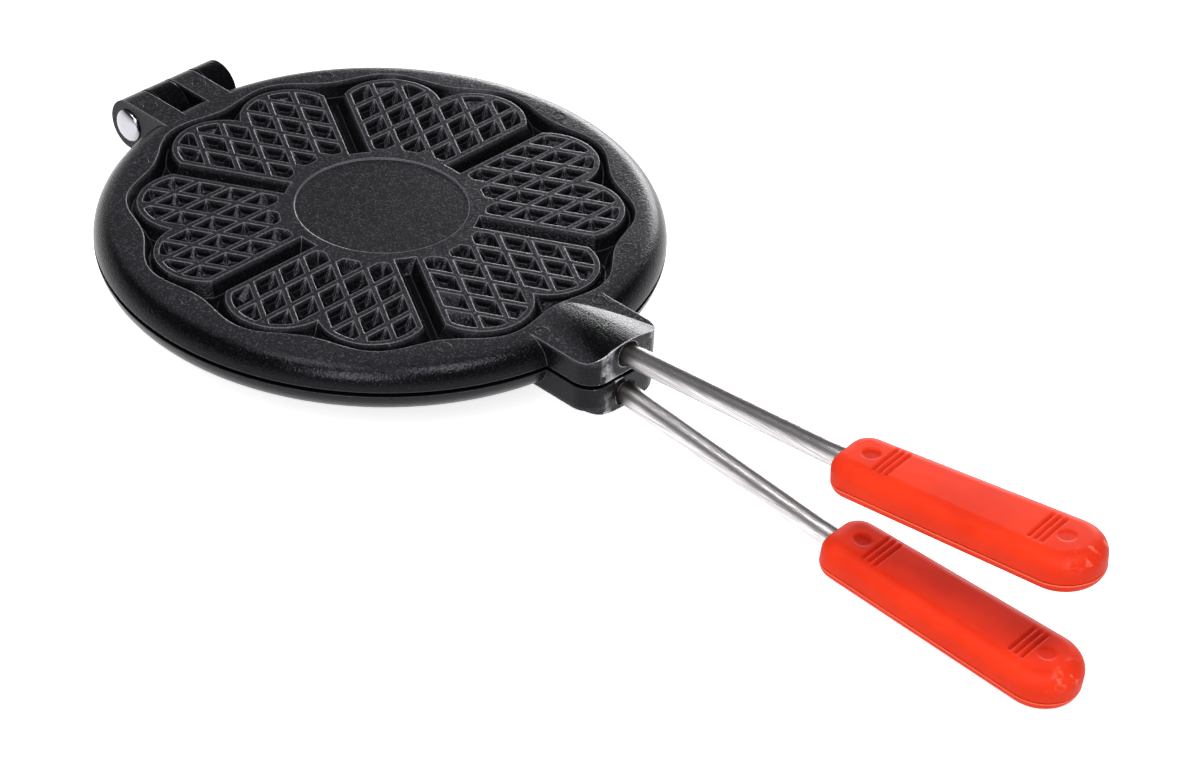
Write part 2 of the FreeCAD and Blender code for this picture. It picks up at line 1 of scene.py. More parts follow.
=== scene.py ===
import bmesh
import bpy
import numpy as np
from mathutils import Matrix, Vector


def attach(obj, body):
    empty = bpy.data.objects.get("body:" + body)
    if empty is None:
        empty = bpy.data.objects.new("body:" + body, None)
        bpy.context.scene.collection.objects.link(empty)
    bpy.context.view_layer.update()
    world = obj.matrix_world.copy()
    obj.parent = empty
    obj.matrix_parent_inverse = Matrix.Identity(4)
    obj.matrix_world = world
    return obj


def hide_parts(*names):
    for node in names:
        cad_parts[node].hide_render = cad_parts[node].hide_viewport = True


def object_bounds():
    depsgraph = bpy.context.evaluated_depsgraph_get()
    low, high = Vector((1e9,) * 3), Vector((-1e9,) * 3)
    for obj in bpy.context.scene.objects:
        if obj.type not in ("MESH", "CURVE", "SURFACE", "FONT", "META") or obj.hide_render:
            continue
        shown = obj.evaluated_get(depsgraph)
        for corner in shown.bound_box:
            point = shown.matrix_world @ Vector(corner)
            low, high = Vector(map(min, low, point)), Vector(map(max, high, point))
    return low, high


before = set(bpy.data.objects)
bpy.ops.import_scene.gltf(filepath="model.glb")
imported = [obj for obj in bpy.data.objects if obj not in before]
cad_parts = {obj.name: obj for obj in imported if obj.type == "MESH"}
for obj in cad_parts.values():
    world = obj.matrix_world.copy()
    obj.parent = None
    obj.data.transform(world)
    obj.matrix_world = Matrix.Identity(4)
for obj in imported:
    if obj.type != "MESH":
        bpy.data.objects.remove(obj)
cad_low, cad_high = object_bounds()

# Plates: two equal aluminium castings with a black baked coating. The coating is satin with a fine
# grain. Its grey along the ribs and on the outer face is partly rubbed coating and partly painted
# sheen and painted highlight, and it is rubbed to bare metal on the handle boss.
scene = bpy.context.scene
MM = 0.001
PLATE_TOP = 22.0 * MM
PLATE_LOW = 0.0
CLOSING = 11.0 * MM
BOSS_FRONT = 136.0 * MM
ROD_LIFT = 9.0 * MM
POCKET_DEPTH = 4.6 * MM
POCKET_LEAN = 2.0 * MM
MOAT_DEPTH = 6.0 * MM
MOAT_LEAN = 1.6 * MM
JOIN_WITHIN = 0.002 * MM
CRISP_ANGLE = np.radians(9)
COATING = (0.0020, 0.0020, 0.0024, 1)
# Grey of the coating on the outer face and edges: rubbed coating with painted sheen and highlight.
COATING_WEAR_AND_SHEEN = (0.27, 0.27, 0.31, 1)
BARE_METAL = (0.80, 0.80, 0.83, 1)
COATING_GRAIN = 1250.0
GRAIN_HEIGHT = 0.16 * MM
EDGE_ROUND = 0.7 * MM
RUBBED_BAND = 2.6 * MM
TOP_FADE = (2.2 * MM, 0.3 * MM)  # distance from the outer face where its grey of handling and painted sheen starts and is full
FRONT_FADE = (BOSS_FRONT - 0.7 * MM, BOSS_FRONT - 0.1 * MM)
FRONT_EDGE_FADE = (BOSS_FRONT - 2.0 * MM, BOSS_FRONT - 0.8 * MM)
NEAR_SIDE_FADE = (12.0 * MM, -8.0 * MM)
ROD_RING = (7.8 * MM, 11.5 * MM)  # from the middle of the rod: the coating is kept dark within and may go bare beyond


def new_group(name, inputs, outputs):
    """Shader node group with value inputs (name, default) and outputs (name, socket type)."""
    tree = bpy.data.node_groups.new(name, "ShaderNodeTree")
    for title, default in inputs:
        socket = tree.interface.new_socket(title, in_out="INPUT", socket_type="NodeSocketFloat")
        socket.default_value = default
    for title, kind in outputs:
        tree.interface.new_socket(title, in_out="OUTPUT", socket_type=kind)
    return tree, tree.nodes.new("NodeGroupInput"), tree.nodes.new("NodeGroupOutput")


def put(tree, kind, values=(), links=(), **settings):
    """Adds a node, sets its properties and socket values, and links sockets into its inputs."""
    node = tree.nodes.new(kind)
    for key, value in settings.items():
        setattr(node, key, value)
    for key, value in values:
        node.inputs[key].default_value = value
    for key, source in links:
        tree.links.new(source, node.inputs[key])
    return node


def calculate(tree, operation, first, second=None, third=None):
    """Math node on sockets or plain numbers; returns its output socket."""
    node = tree.nodes.new("ShaderNodeMath")
    node.operation = operation
    for k, value in enumerate((first, second, third)):
        if isinstance(value, bpy.types.NodeSocket):
            tree.links.new(value, node.inputs[k])
        elif value is not None:
            node.inputs[k].default_value = value
    return node.outputs[0]


def ease(tree, value, start, end):
    """Smooth step of a value from 0 at start to 1 at end."""
    node = put(tree, "ShaderNodeMapRange", [("From Min", start), ("From Max", end)],
               interpolation_type="SMOOTHSTEP")
    tree.links.new(value, node.inputs["Value"])
    return node.outputs["Result"]


def blend_colour(tree, factor, first, second):
    """Mix of two colours, each a socket or a plain colour."""
    node = tree.nodes.new("ShaderNodeMix")
    node.data_type = "RGBA"
    tree.links.new(factor, node.inputs["Factor"])
    for name, value in (("A", first), ("B", second)):
        socket = [s for s in node.inputs if s.name == name and s.type == "RGBA"][0]
        if isinstance(value, bpy.types.NodeSocket):
            tree.links.new(value, socket)
        else:
            socket.default_value = value
    return [s for s in node.outputs if s.type == "RGBA"][0]


# Fine grain of a sprayed or moulded skin: speckles, slow blotches and a height for the bump.
grain, given, result = new_group(
    "skin_grain", [("Scale", 1500.0)],
    [("Speckle", "NodeSocketFloat"), ("Blotch", "NodeSocketFloat"), ("Height", "NodeSocketFloat")])
spot = put(grain, "ShaderNodeTexCoord").outputs["Object"]
fine = put(grain, "ShaderNodeTexNoise", [("Detail", 2.0), ("Roughness", 0.5)],
           [("Vector", spot), ("Scale", given.outputs["Scale"])])
slow = put(grain, "ShaderNodeTexNoise", [("Scale", 45.0), ("Detail", 3.0)], [("Vector", spot)])
grain.links.new(ease(grain, fine.outputs["Fac"], 0.50, 0.72), result.inputs["Speckle"])
grain.links.new(ease(grain, slow.outputs["Fac"], 0.35, 0.68), result.inputs["Blotch"])
grain.links.new(fine.outputs["Fac"], result.inputs["Height"])

# Rounded edges: a normal that is eased over every edge, and a mask that is 1 along the edges.
edges, given, result = new_group(
    "eased_edges", [("Radius", 0.0006)],
    [("Normal", "NodeSocketVector"), ("Edge", "NodeSocketFloat")])
eased = put(edges, "ShaderNodeBevel", links=[("Radius", given.outputs["Radius"])], samples=6)
true_normal = put(edges, "ShaderNodeNewGeometry").outputs["Normal"]
likeness = put(edges, "ShaderNodeVectorMath", links=[(0, eased.outputs[0]), (1, true_normal)],
               operation="DOT_PRODUCT").outputs["Value"]
edges.links.new(ease(edges, likeness, 0.995, 0.90), result.inputs["Edge"])
edges.links.new(eased.outputs[0], result.inputs["Normal"])


def new_material(name):
    """Empty node material; returns it with its tree and its Principled shader."""
    material = bpy.data.materials.new(name)
    material.use_nodes = True
    return material, material.node_tree, material.node_tree.nodes["Principled BSDF"]


def group_node(tree, group, **values):
    """Places a node group in a material with its own values."""
    node = tree.nodes.new("ShaderNodeGroup")
    node.node_tree = group
    for key, value in values.items():
        node.inputs[key].default_value = value
    return node


def cast_coating(name, outer, mouth, rubbed, edge_grey_wear_and_highlight=0.55):
    """Black coating of one plate. outer is the level of its outer face and mouth the level where
    the rod leaves it; rubbed is how far the front of its boss is worn to bare metal, all but a dark
    ring round the rod; the last argument is how grey the edges are made, partly as rubbed coating
    and partly as painted highlight."""
    material, tree, shader = new_material(name)

    def times(first, second):
        """Product of two sockets or plain numbers."""
        return calculate(tree, "MULTIPLY", first, second)

    skin = group_node(tree, grain, Scale=COATING_GRAIN)
    rim = group_node(tree, edges, Radius=EDGE_ROUND)
    band = group_node(tree, edges, Radius=RUBBED_BAND)
    spot = put(tree, "ShaderNodeTexCoord").outputs["Object"]
    x, y, z = put(tree, "ShaderNodeSeparateXYZ", links=[("Vector", spot)]).outputs

    # Grey on the whole outer face, more in its speckles, most on its edges: partly handling wear
    # and partly painted sheen on the outer face and painted highlight along the edges.
    off_top = calculate(tree, "ABSOLUTE", calculate(tree, "SUBTRACT", z, outer))
    near_top = ease(tree, off_top, *TOP_FADE)
    edge_wear_and_highlight = times(rim.outputs["Edge"], calculate(tree, "MAXIMUM", near_top, 0.22))
    speckle_wear_and_sheen = calculate(tree, "MULTIPLY_ADD", near_top, 0.12, 0.02)
    speckle = times(skin.outputs["Speckle"], speckle_wear_and_sheen)
    top_wear_and_sheen = calculate(tree, "MULTIPLY_ADD", near_top, 0.055, speckle)
    grey = calculate(tree, "MULTIPLY_ADD", edge_wear_and_highlight, edge_grey_wear_and_highlight, top_wear_and_sheen)
    coat = blend_colour(tree, calculate(tree, "MINIMUM", grey, 1.0), COATING, COATING_WEAR_AND_SHEEN)

    # Bare metal on the front of the boss: smears, a scraped band on one side and chipped edges.
    patch = put(tree, "ShaderNodeTexNoise",
                [("Scale", 210.0), ("Detail", 4.0), ("Roughness", 0.65)],
                [("Vector", spot)]).outputs["Fac"]
    front = ease(tree, x, *FRONT_FADE)
    near_side = ease(tree, y, *NEAR_SIDE_FADE)
    chance = calculate(tree, "MULTIPLY_ADD", near_side, 0.12, patch)
    smeared = times(ease(tree, chance, 0.58 - rubbed, 0.92 - rubbed), front)
    broad = times(times(band.outputs["Edge"], near_side), front)
    scraped = times(broad, ease(tree, patch, 0.46 - rubbed, 0.66 - rubbed))
    narrow = times(rim.outputs["Edge"], ease(tree, x, *FRONT_EDGE_FADE))
    chipped = times(narrow, ease(tree, patch, 0.48 - rubbed, 0.58 - rubbed))
    # The coating is kept dark in a ring round the rod, where no bare metal is let in.
    above = calculate(tree, "SUBTRACT", z, mouth)
    from_rod = calculate(tree, "SQRT", calculate(tree, "ADD", times(above, above), times(y, y)))
    bare = calculate(tree, "MAXIMUM", times(smeared, 0.6), scraped)
    bare = calculate(tree, "MAXIMUM", times(bare, ease(tree, from_rod, *ROD_RING)), chipped)

    tree.links.new(blend_colour(tree, bare, coat, BARE_METAL), shader.inputs["Base Color"])
    tree.links.new(times(bare, 0.25), shader.inputs["Metallic"])
    shader.inputs["Specular IOR Level"].default_value = 0.15
    shader.inputs["Specular Tint"].default_value = (0.87, 0.86, 1.0, 1)
    rough = calculate(tree, "MULTIPLY_ADD", skin.outputs["Blotch"], 0.03, 0.18)
    tree.links.new(rough, shader.inputs["Roughness"])
    bump = put(tree, "ShaderNodeBump", [("Strength", 1.0), ("Distance", GRAIN_HEIGHT)],
               [("Height", skin.outputs["Height"]), ("Normal", rim.outputs["Normal"])])
    tree.links.new(bump.outputs["Normal"], shader.inputs["Normal"])
    return material


def lean_walls(points, triangles, level, outward, most):
    """Moves the rim of every flat floor at a level towards the middle of that floor, so that the
    walls round it lean like the sides of a funnel. A floor moves by the distance most, or by 0.7 of
    its inner radius (twice the area over the rim length) where that is less."""
    corners = points[triangles]
    facing = np.cross(corners[:, 1] - corners[:, 0], corners[:, 2] - corners[:, 0])[:, 2] * outward
    flat = (np.abs(corners[..., 2] - level).max(1) < 0.02 * MM) & (facing > 0)
    floor = triangles[flat]
    label = np.arange(len(points))
    while True:
        lowest = label[floor].min(1)
        if (label[floor] == lowest[:, None]).all():
            break
        for k in range(3):
            np.minimum.at(label, floor[:, k], lowest)
    sides = floor[:, [0, 1, 1, 2, 2, 0]].reshape(-1, 2)
    ways = sides @ (len(points), 1)
    rim = sides[~np.isin(ways, sides @ (1, len(points)))]
    along = points[rim[:, 1], :2] - points[rim[:, 0], :2]
    length = np.linalg.norm(along, axis=1)
    inward = outward * np.stack([-along[:, 1], along[:, 0]], -1) / length[:, None]
    area, border = np.zeros(len(points)), np.full(len(points), 1e-9)
    np.add.at(area, label[floor[:, 0]], facing[flat] / 2)
    np.add.at(border, label[rim[:, 0]], length)
    push = np.zeros((len(points), 2))
    for k in range(2):
        np.add.at(push, rim[:, k], inward)
    mitre = np.maximum((push ** 2).sum(1) / 2, 0.3)
    step = np.minimum(most, 0.7 * 2 * area / border)[label]
    moved = points.copy()
    moved[:, :2] += push * (step / mitre)[:, None]
    return moved


def add_piece(mesh, name, body, material, slot, *stands_for):
    """Puts a finished mesh into the scene as one piece on a CAD body."""
    mesh.materials.clear()
    mesh.materials.append(material)
    piece = bpy.data.objects.new(name, mesh)
    scene.collection.objects.link(piece)
    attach(piece, body)
    if stands_for:
        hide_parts(*stands_for)
    return piece


def finished_copy(node, name, body, material, slot, outer, outward):
    """The solid of a plate with its triangles joined, so that round faces shade smoothly and edges
    over 9 degrees stay crisp, and with the walls of its pockets and of its moat leaning more."""
    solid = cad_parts[node].data
    points = np.zeros(3 * len(solid.vertices))
    solid.vertices.foreach_get("co", points)
    triangles = np.zeros(len(solid.loops), int)
    solid.loops.foreach_get("vertex_index", triangles)
    keys = np.round(points.reshape(-1, 3) / JOIN_WITHIN).astype(int)
    first, number = np.unique(keys, axis=0, return_index=True, return_inverse=True)[1:]
    triangles = number.ravel()[triangles].reshape(-1, 3)
    triangles = triangles[(np.diff(np.sort(triangles, 1), axis=1) > 0).all(1)]
    points = points.reshape(-1, 3)[first]
    points = lean_walls(points, triangles, outer - outward * POCKET_DEPTH, outward, POCKET_LEAN)
    points = lean_walls(points, triangles, outer - outward * MOAT_DEPTH, outward, MOAT_LEAN)
    mesh = bpy.data.meshes.new(name)
    mesh.from_pydata(points, [], triangles)
    mesh.polygons.foreach_set("use_smooth", np.ones(len(mesh.polygons), bool))
    mesh.set_sharp_from_angle(angle=CRISP_ANGLE)
    return add_piece(mesh, name, body, material, slot, node)


upper_coating = cast_coating("upper_coating", PLATE_TOP, CLOSING + ROD_LIFT, 0.12)
lower_coating = cast_coating("lower_coating", PLATE_LOW, CLOSING - ROD_LIFT, 0.0)
finished_copy("upper_plate", "upper_casting", "upper", upper_coating, "coated_casting",
              PLATE_TOP, 1)
finished_copy("lower_plate", "lower_casting", "lower", lower_coating, "coated_casting",
              PLATE_LOW, -1)

# Ejector marks: shallow rings that the pins of the casting mould leave on the rim between the
# hearts, beside the boss and on the hinge lugs, the same on both castings.
RING_RADIUS = 2.8 * MM
RING_BEAD = 0.28 * MM
RING_RISE = 0.26 * MM
MARK_CIRCLE = 101.6
BETWEEN_HEARTS = np.radians(30 + 60 * np.arange(6))
MARKS = np.array(
    [(MARK_CIRCLE * np.cos(a), MARK_CIRCLE * np.sin(a)) for a in BETWEEN_HEARTS]
    + [(105.5, 15.8), (105.5, -15.8), (-119.0, 6.6), (-119.0, -20.0)]) * MM


def grid_mesh(name, points, closed_across=False, closed_along=False):
    """Mesh of a grid of points (rows, columns, 3), joined round where it is closed."""
    rows, columns = points.shape[:2]
    index = np.arange(rows * columns).reshape(rows, columns)
    if closed_along:
        index = np.vstack([index, index[:1]])
    if closed_across:
        index = np.hstack([index, index[:, :1]])
    faces = np.stack([index[:-1, :-1], index[:-1, 1:], index[1:, 1:], index[1:, :-1]], -1)
    mesh = bpy.data.meshes.new(name)
    mesh.from_pydata(points.reshape(-1, 3), [], faces.reshape(-1, 4))
    mesh.polygons.foreach_set("use_smooth", np.ones(len(mesh.polygons), bool))
    return mesh


def close_up(mesh):
    """Merges the points of poles and turns all faces outwards."""
    joined = bmesh.new()
    joined.from_mesh(mesh)
    bmesh.ops.remove_doubles(joined, verts=joined.verts, dist=1e-6)
    bmesh.ops.recalc_face_normals(joined, faces=joined.faces)
    joined.to_mesh(mesh)
    joined.free()
    mesh.polygons.foreach_set("use_smooth", np.ones(len(mesh.polygons), bool))
    return mesh


def ring_marks(name, spots, level, outward):
    """Flat beads: a small ellipse carried round a circle at every spot."""
    turn = np.linspace(0, 2 * np.pi, 40, endpoint=False)
    bead = np.linspace(0, 2 * np.pi, 10, endpoint=False)
    radius = RING_RADIUS + RING_BEAD * np.cos(bead)[None, :]
    rings = []
    for x, y in spots:
        rings.append(np.stack([
            x + radius * np.cos(turn)[:, None],
            y + radius * np.sin(turn)[:, None],
            level + outward * RING_RISE * np.sin(bead)[None, :] + 0 * turn[:, None]], -1))
    whole = bmesh.new()
    for ring in rings:
        whole.from_mesh(close_up(grid_mesh(name, ring, True, True)))
    mesh = bpy.data.meshes.new(name)
    whole.to_mesh(mesh)
    whole.free()
    mesh.polygons.foreach_set("use_smooth", np.ones(len(mesh.polygons), bool))
    return mesh


mark_coating = cast_coating("mark_coating", PLATE_TOP, CLOSING, 0.0, 0.0)
add_piece(ring_marks("upper_marks", MARKS, PLATE_TOP, 1), "upper_ejector_marks", "upper",
          mark_coating, "coated_casting")
add_piece(ring_marks("lower_marks", MARKS * (1, -1), PLATE_LOW, -1), "lower_ejector_marks", "lower",
          mark_coating, "coated_casting")

# Hinge pin: a polished steel rivet along the hinge, with a domed head on one side and a peened end
# on a washer on the other.
HINGE_X = -127.0 * MM
STEEL_CRISP = np.radians(40)
PIN_PROFILE = [  # along the hinge from the head, and radius, both in mm
    (-27.8, 0.0), (-27.75, 1.2), (-27.6, 2.6), (-27.3, 4.0), (-26.9, 5.2), (-26.4, 6.2),
    (-25.9, 6.8), (-25.4, 7.1), (-25.3, 7.1), (-25.3, 4.0), (26.2, 4.0), (26.2, 5.7),
    (26.5, 5.6), (27.1, 4.9), (27.7, 3.4), (27.95, 1.7), (28.0, 0.0)]


def turned(name, profile, middle):
    """Profile of (along, radius) turned about a line along Y through the point middle."""
    along, radius = (np.array(profile) * MM).T
    turn = np.linspace(0, 2 * np.pi, 64, endpoint=False)
    points = np.stack([
        middle[0] + radius[:, None] * np.cos(turn),
        middle[1] + along[:, None] + 0 * turn,
        middle[2] + radius[:, None] * np.sin(turn)], -1)
    return close_up(grid_mesh(name, points, closed_across=True))


def polished(name, colour, rough):
    """Bright steel with fine scratches and a few dull patches."""
    material, tree, shader = new_material(name)
    skin = group_node(tree, grain, Scale=900.0)
    shader.inputs["Base Color"].default_value = colour
    shader.inputs["Metallic"].default_value = 1.0
    spread = calculate(tree, "MULTIPLY_ADD", skin.outputs["Blotch"], 0.12, rough)
    tree.links.new(spread, shader.inputs["Roughness"])
    bump = put(tree, "ShaderNodeBump", [("Strength", 0.06), ("Distance", 0.0001)],
               [("Height", skin.outputs["Height"])])
    tree.links.new(bump.outputs["Normal"], shader.inputs["Normal"])
    return material


pin_steel = polished("pin_steel", (0.46, 0.45, 0.49, 1), 0.16)
pin = turned("hinge_rivet", PIN_PROFILE, (HINGE_X, 0.0, CLOSING))
pin.set_sharp_from_angle(angle=STEEL_CRISP)
add_piece(pin, "hinge_rivet", "lower", pin_steel, "polished_steel", "hinge_pin")
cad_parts["hinge_washer"].data.materials.clear()
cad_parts["hinge_washer"].data.materials.append(pin_steel)

# Handle rods: 9 mm stainless bar, drawn and brushed lengthwise. Each leaves its boss at a slant,
# bends a little just before the grip and ends inside it.
ROD_RADIUS = 4.5
ROD_TILT = np.radians(5.08)
ROD_ROLL = np.radians(9.6)
ROD_START = 107.0
ROD_VERTEX = 236.0
BEND_RADIUS = 60.0
ROD_IN_GRIP = 80.0
GRIP_OFFSET = 5.5
HANDLES = (("upper", 1, np.radians(5.3)), ("lower", -1, np.radians(3.6)))
STREAK_DARK = (0.36, 0.345, 0.345, 1)
STREAK_LIGHT = (0.70, 0.67, 0.68, 1)
HEAT_TINT_AND_REFLECTION = (0.08, 0.068, 0.06, 1)
HEAT_AND_REFLECTION_FADE = (BOSS_FRONT + 10.0 * MM, BOSS_FRONT + 1.0 * MM)


def turn_about(axis, angle):
    """Matrix that turns by an angle about one of the axes."""
    return np.array(Matrix.Rotation(angle, 3, axis))


def handle_frame(side, bend):
    """Root of the rod, its own axes, the corner where it bends and the heading beyond (mm)."""
    axes = turn_about("Y", -side * ROD_TILT) @ turn_about("X", -side * ROD_ROLL)
    tilted = np.array([np.cos(ROD_TILT), 0, side * np.sin(ROD_TILT)])
    mouth = np.array([BOSS_FRONT / MM, 0, (CLOSING + side * ROD_LIFT) / MM])
    root = mouth - tilted * (BOSS_FRONT / MM - ROD_START) / np.cos(ROD_TILT)
    reach = (ROD_VERTEX - ROD_START) / np.cos(ROD_TILT)
    heading = axes @ np.array([np.cos(bend), np.sin(bend), 0])
    return root, axes, reach, root + tilted * reach, heading


def bent_rod(name, root, axes, reach, bend):
    """Circle carried along a straight run, an arc and a second straight run."""
    cut = BEND_RADIUS * np.tan(bend / 2)
    arc = np.linspace(0, bend, 9)
    first = np.linspace(0, reach - cut, 40)
    last = np.linspace(0, ROD_IN_GRIP + GRIP_OFFSET - cut, 24)[1:]
    x = np.concatenate([first[:-1], reach - cut + BEND_RADIUS * np.sin(arc)])
    y = np.concatenate([0 * first[:-1], BEND_RADIUS * (1 - np.cos(arc))])
    x = np.concatenate([x, x[-1] + last * np.cos(bend)])
    y = np.concatenate([y, y[-1] + last * np.sin(bend)])
    way = np.concatenate([0 * first[:-1], arc, bend + 0 * last])
    turn = np.linspace(0, 2 * np.pi, 48, endpoint=False)
    radius = np.full(len(x) + 2, ROD_RADIUS)
    radius[[0, -1]] = 0.0
    x, y, way = [np.concatenate([v[:1], v, v[-1:]]) for v in (x, y, way)]
    side = radius[:, None] * np.cos(turn)
    local = np.stack([x[:, None] - side * np.sin(way)[:, None],
                      y[:, None] + side * np.cos(way)[:, None],
                      radius[:, None] * np.sin(turn)], -1)
    mesh = close_up(grid_mesh(name, (root + local @ axes.T) * MM, closed_across=True))
    mesh.set_sharp_from_angle(angle=STEEL_CRISP)
    return mesh


def brushed_steel(name, side):
    """Stainless steel with long light and dark streaks, which are noise stretched along the rod,
    and darker and browner where it leaves the boss: a heat tint and a painted reflection of the
    black boss."""
    material, tree, shader = new_material(name)
    spot = put(tree, "ShaderNodeTexCoord").outputs["Object"]
    along_rod = put(tree, "ShaderNodeMapping",
                    [("Rotation", (0, side * ROD_TILT, 0)), ("Scale", (9.0, 2600.0, 2600.0))],
                    [("Vector", spot)])
    streak = put(tree, "ShaderNodeTexNoise", [("Scale", 1.0), ("Detail", 3.0), ("Roughness", 0.7)],
                 [("Vector", along_rod.outputs["Vector"])])
    light = ease(tree, streak.outputs["Fac"], 0.36, 0.64)
    place = put(tree, "ShaderNodeSeparateXYZ", links=[("Vector", spot)])
    # Near the mouth of the boss: heat tint with a painted reflection of the black boss.
    heat_and_reflection = calculate(tree, "MULTIPLY", ease(tree, place.outputs["X"], *HEAT_AND_REFLECTION_FADE), 0.85)
    steel = blend_colour(tree, light, STREAK_DARK, STREAK_LIGHT)
    tree.links.new(blend_colour(tree, heat_and_reflection, steel, HEAT_TINT_AND_REFLECTION), shader.inputs["Base Color"])
    shader.inputs["Metallic"].default_value = 1.0
    tree.links.new(calculate(tree, "MULTIPLY_ADD", light, -0.10, 0.42), shader.inputs["Roughness"])
    bump = put(tree, "ShaderNodeBump", [("Strength", 0.03), ("Distance", 0.0001)],
               [("Height", streak.outputs["Fac"])])
    tree.links.new(bump.outputs["Normal"], shader.inputs["Normal"])
    return material


for body, side, bend in HANDLES:
    root, axes, reach, corner, heading = handle_frame(side, bend)
    add_piece(bent_rod(body + "_bar", root, axes, reach, bend), body + "_bar", body,
              brushed_steel(body + "_bar_steel", side), "rod_steel", body + "_rod")

# Sleeves: short bushes of dark heat-proof plastic, pushed into the mouths of the bosses round the
# rods. Only their front rims show.
SLEEVE_BLACK = (0.010, 0.010, 0.010, 1)
SLEEVE_GREY = (0.028, 0.028, 0.029, 1)
material, tree, shader = new_material("sleeve_black")
skin = group_node(tree, grain, Scale=1200.0)
tree.links.new(blend_colour(tree, skin.outputs["Speckle"], SLEEVE_BLACK, SLEEVE_GREY),
               shader.inputs["Base Color"])
tree.links.new(calculate(tree, "MULTIPLY_ADD", skin.outputs["Blotch"], 0.1, 0.6),
               shader.inputs["Roughness"])
shader.inputs["Specular IOR Level"].default_value = 0.1
for body, side, bend in HANDLES:
    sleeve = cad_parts[body + "_sleeve"]
    sleeve.data.materials.clear()
    sleeve.data.materials.append(material)

# Grips: orange red rubber moulded round the rod ends. A flat top with rounded edges, three grooves
# and a round dimple near each end, and the parting line of the mould low on the sides.
GRIP_LENGTH = 110.0
GRIP_MOUTH = 13.1
GRIP_END = 15.8
GRIP_TOP = 7.0
GRIP_BOTTOM = 9.0
GRIP_CORNER = 9.0
ROUND_TOP = 6.5
ROUND_BOTTOM = 5.5
GROOVES = np.concatenate([18.8 + 2.7 * np.arange(3), 84.4 + 2.7 * np.arange(3)])
GROOVE_HALF_LENGTH = 8.2
GROOVE_WIDTH = 0.62
GROOVE_DEPTH = 0.8
DIMPLES = ((12.7, 0.7), (95.2, 0.35))
DIMPLE_RADIUS = 3.3
PARTING_LEVEL = -3.6
PARTING_DEPTH = 0.35
CROWN = 0.35
TOP_BAND = 2.5  # height below the top over which the grooves and the crown fade out
RUBBER_DEEP = (0.61, 0.026, 0.0062, 1)
RUBBER_LIGHT = (0.69, 0.033, 0.0077, 1)
RUBBER_PAINTED_SHADE = (0.42, 0.012, 0.004, 1)
RUBBER_WEAR_AND_HIGHLIGHT = (0.95, 0.13, 0.06, 1)
RUBBER_SCUFF_AND_GLINT = (0.95, 0.34, 0.25, 1)


def grip_outline():
    """Plan of the grip, counter-clockwise from the middle of the mouth: a round corner of the
    mouth, a straight side that widens and a quarter circle at the end, then the same mirrored.
    Returns points and outward normals."""
    widen = (GRIP_END - GRIP_MOUTH) / (GRIP_LENGTH - GRIP_END)
    lean = np.arctan(widen)
    round_y = GRIP_MOUTH + GRIP_CORNER * (widen - 1 / np.cos(lean))
    mouth_y = np.linspace(round_y, -round_y, 16)[8:]
    corner = np.pi + np.linspace(0, np.pi / 2 - lean, 24)
    end_turn = np.linspace(-np.pi / 2 - lean, np.pi / 2 + lean, 120)[:60]
    x = np.concatenate([0 * mouth_y, GRIP_CORNER + GRIP_CORNER * np.cos(corner)])
    y = np.concatenate([mouth_y, -round_y + GRIP_CORNER * np.sin(corner)])
    end_x = GRIP_LENGTH - GRIP_END + GRIP_END * np.cos(end_turn)
    end_y = GRIP_END * np.sin(end_turn)
    share = np.linspace(0, 1, 190)[1:-1]
    x = np.concatenate([x, x[-1] + share * (end_x[0] - x[-1]), end_x])
    y = np.concatenate([y, y[-1] + share * (end_y[0] - y[-1]), end_y])
    angle = np.concatenate([np.pi + 0 * mouth_y, corner, 0 * share - np.pi / 2 - lean, end_turn])
    x = np.concatenate([x, x[::-1]])
    y = np.concatenate([y, -y[::-1]])
    angle = np.concatenate([angle, -angle[::-1]])
    return np.stack([x, y], -1), np.stack([np.cos(angle), np.sin(angle)], -1)


def pressed_in(x, y):
    """Depth of the grooves and dimples at a place on the top of the grip."""
    along = np.abs(x[..., None] - GROOVES)
    across = 1 / (1 + np.exp((np.abs(y)[..., None] - GROOVE_HALF_LENGTH) / 0.25))
    depth = GROOVE_DEPTH * (across * np.exp(-(along / GROOVE_WIDTH) ** 4)).max(-1)
    for place, sunk in DIMPLES:
        depth += sunk / (1 + np.exp((np.hypot(x - place, y) - DIMPLE_RADIUS) / 0.16))
    return depth


